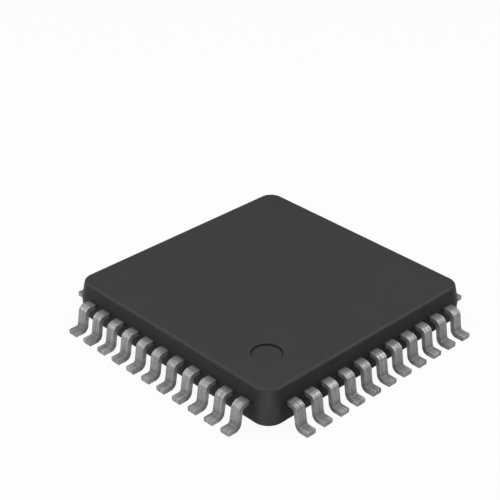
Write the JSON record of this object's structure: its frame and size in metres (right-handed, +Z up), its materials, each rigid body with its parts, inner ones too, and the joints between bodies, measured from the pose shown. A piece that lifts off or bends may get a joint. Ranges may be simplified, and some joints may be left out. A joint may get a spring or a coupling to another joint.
{
  "type": "quad flat pack chip",
  "caption": "Low-profile square chip in moulded epoxy with gull-wing leads on all four sides and a round pin 1 recess in its top face.",
  "frame": {"origin": "centre of the seating plane, which the 44 feet rest on", "axes": "+Z up out of the top face; pin 1 is beside the -X, -Y corner, first of the row that faces -Y, and the pins run anticlockwise seen from above"},
  "size_m": [0.012, 0.012, 0.0015],
  "materials": {
    "mould_compound": "matte moulded epoxy, dark grey, with a fine even grain",
    "tinned_lead": "satin tin plating over copper, with fine streaks along the lead",
    "bare_copper": "bare rolled copper, satin",
    "die_glue": "cured silver-filled epoxy, dull",
    "silicon": "polished silicon, smooth",
    "gold_wire": "drawn gold wire, bright"
  },
  "bodies": {
    "root": {"moulded_body": "mould_compound", "lead_01": "tinned_lead", "lead_02": "tinned_lead", "lead_03": "tinned_lead", "lead_04": "tinned_lead", "lead_05": "tinned_lead", "lead_06": "tinned_lead", "lead_07": "tinned_lead", "lead_08": "tinned_lead", "lead_09": "tinned_lead", "lead_10": "tinned_lead", "lead_11": "tinned_lead", "lead_12": "tinned_lead", "lead_13": "tinned_lead", "lead_14": "tinned_lead", "lead_15": "tinned_lead", "lead_16": "tinned_lead", "lead_17": "tinned_lead", "lead_18": "tinned_lead", "lead_19": "tinned_lead", "lead_20": "tinned_lead", "lead_21": "tinned_lead", "lead_22": "tinned_lead", "lead_23": "tinned_lead", "lead_24": "tinned_lead", "lead_25": "tinned_lead", "lead_26": "tinned_lead", "lead_27": "tinned_lead", "lead_28": "tinned_lead", "lead_29": "tinned_lead", "lead_30": "tinned_lead", "lead_31": "tinned_lead", "lead_32": "tinned_lead", "lead_33": "tinned_lead", "lead_34": "tinned_lead", "lead_35": "tinned_lead", "lead_36": "tinned_lead", "lead_37": "tinned_lead", "lead_38": "tinned_lead", "lead_39": "tinned_lead", "lead_40": "tinned_lead", "lead_41": "tinned_lead", "lead_42": "tinned_lead", "lead_43": "tinned_lead", "lead_44": "tinned_lead", "die_pad": "bare_copper", "die_attach": "die_glue", "silicon_die": "silicon", "bond_wires_front": "gold_wire", "bond_wires_right": "gold_wire", "bond_wires_back": "gold_wire", "bond_wires_left": "gold_wire"}
  },
  "joints": []
}
